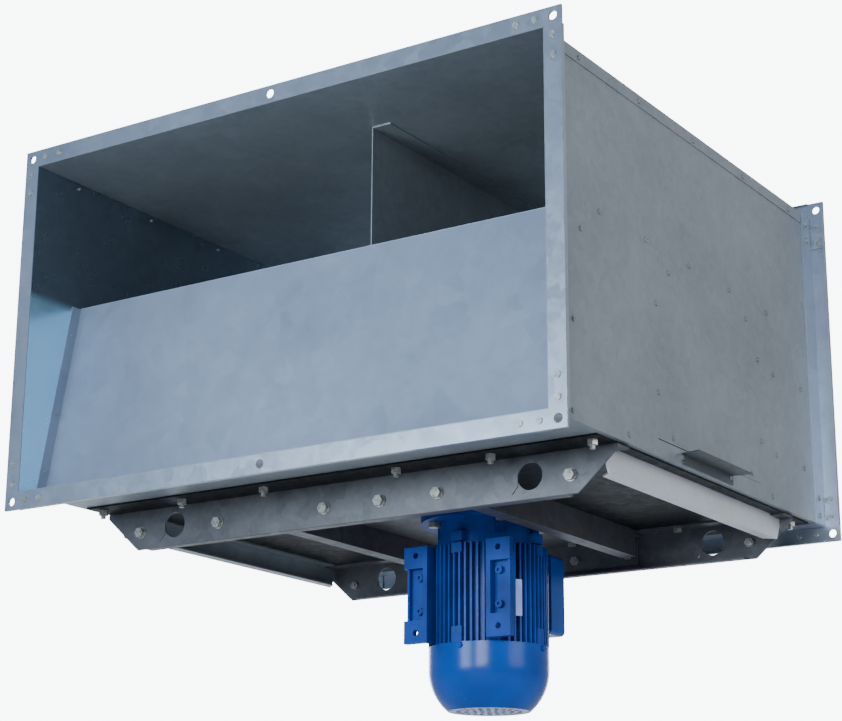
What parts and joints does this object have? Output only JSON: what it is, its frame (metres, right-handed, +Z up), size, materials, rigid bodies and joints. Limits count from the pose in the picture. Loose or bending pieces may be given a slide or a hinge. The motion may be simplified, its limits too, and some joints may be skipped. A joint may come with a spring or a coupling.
{
  "type": "inline duct fan",
  "caption": "Inline centrifugal fan for rectangular ducts: flanged galvanised casing, suction and pressure chambers, vertical motor on a frame below.",
  "frame": {"origin": "centre of the inlet flange face", "axes": "+Y along the airflow from inlet to outlet, +Z up, +X to the right seen from the inlet"},
  "size_m": [0.746, 0.6786, 0.656],
  "materials": {
    "galvanised_sheet": "spangled zinc, satin",
    "galvanised_flange": "rolled zinc, semi-bright",
    "galvanised_frame": "dull zinc",
    "zinc_fastener": "zinc plated",
    "motor_casting_blue": "satin blue enamel",
    "gloss_blue_cover": "gloss blue enamel",
    "lamination_steel": "stacked laminations",
    "machined_steel": "machined",
    "impeller_steel": "zinc coated",
    "copper_winding": "varnished copper",
    "seal_rubber": "matt",
    "black_plastic": "moulded",
    "nameplate_metal": "blank satin plate"
  },
  "bodies": {
    "fan_unit": {"casing_top": "galvanised_sheet", "casing_side_right": "galvanised_sheet", "casing_side_left": "galvanised_sheet", "casing_bottom": "galvanised_sheet", "side_lugs": "galvanised_sheet", "inlet_flange_bars": "galvanised_flange", "outlet_flange_bars": "galvanised_flange", "flange_corner_plates": "galvanised_flange", "flange_rivets": "zinc_fastener", "inlet_ramp": "galvanised_sheet", "partition_deck": "galvanised_sheet", "rear_closing_plate": "galvanised_sheet", "anti_swirl_plate": "galvanised_sheet", "inlet_cone": "galvanised_sheet", "inlet_cone_screws": "zinc_fastener", "scroll_wall": "galvanised_sheet", "wall_stiffeners": "galvanised_sheet", "wall_screws": "zinc_fastener", "base_plate": "galvanised_frame", "front_beam": "galvanised_frame", "rear_beam": "galvanised_frame", "side_rail_right": "galvanised_sheet", "side_rail_left": "galvanised_sheet", "middle_beam_right": "galvanised_frame", "middle_beam_left": "galvanised_frame", "motor_plate": "galvanised_frame", "module_bolts": "zinc_fastener", "module_nuts": "zinc_fastener", "beam_bolts": "zinc_fastener", "flange_end_shield": "motor_casting_blue", "motor_frame": "motor_casting_blue", "motor_feet": "motor_casting_blue", "foot_bolts": "motor_casting_blue", "rear_end_shield": "motor_casting_blue", "end_shield_screws": "motor_casting_blue", "stator_core": "lamination_steel", "stator_windings": "copper_winding", "shaft_seal": "seal_rubber", "bearing_outer_rings": "machined_steel", "fan_cowl": "gloss_blue_cover", "cover_screws": "gloss_blue_cover", "motor_flange_bolts": "zinc_fastener", "terminal_box": "gloss_blue_cover", "terminal_box_lid": "gloss_blue_cover", "terminal_block": "black_plastic", "cable_gland": "black_plastic", "nameplate": "nameplate_metal"},
    "rotor": {"motor_shaft": "machined_steel", "shaft_key": "machined_steel", "rotor_core": "lamination_steel", "bearing_inner_rings": "machined_steel", "bearing_balls": "machined_steel", "impeller_hub": "machined_steel", "hub_rivets": "zinc_fastener", "hub_screw": "zinc_fastener", "impeller_backplate": "impeller_steel", "impeller_shroud": "impeller_steel", "impeller_blades": "impeller_steel", "cooling_fan": "black_plastic"}
  },
  "joints": [
    {"name": "rotor_spin", "type": "hinge", "parent": "fan_unit", "child": "rotor", "pos_m": [0.048, 0.378, -0.207], "axis": [0, 0, 1], "continuous": true}
  ]
}
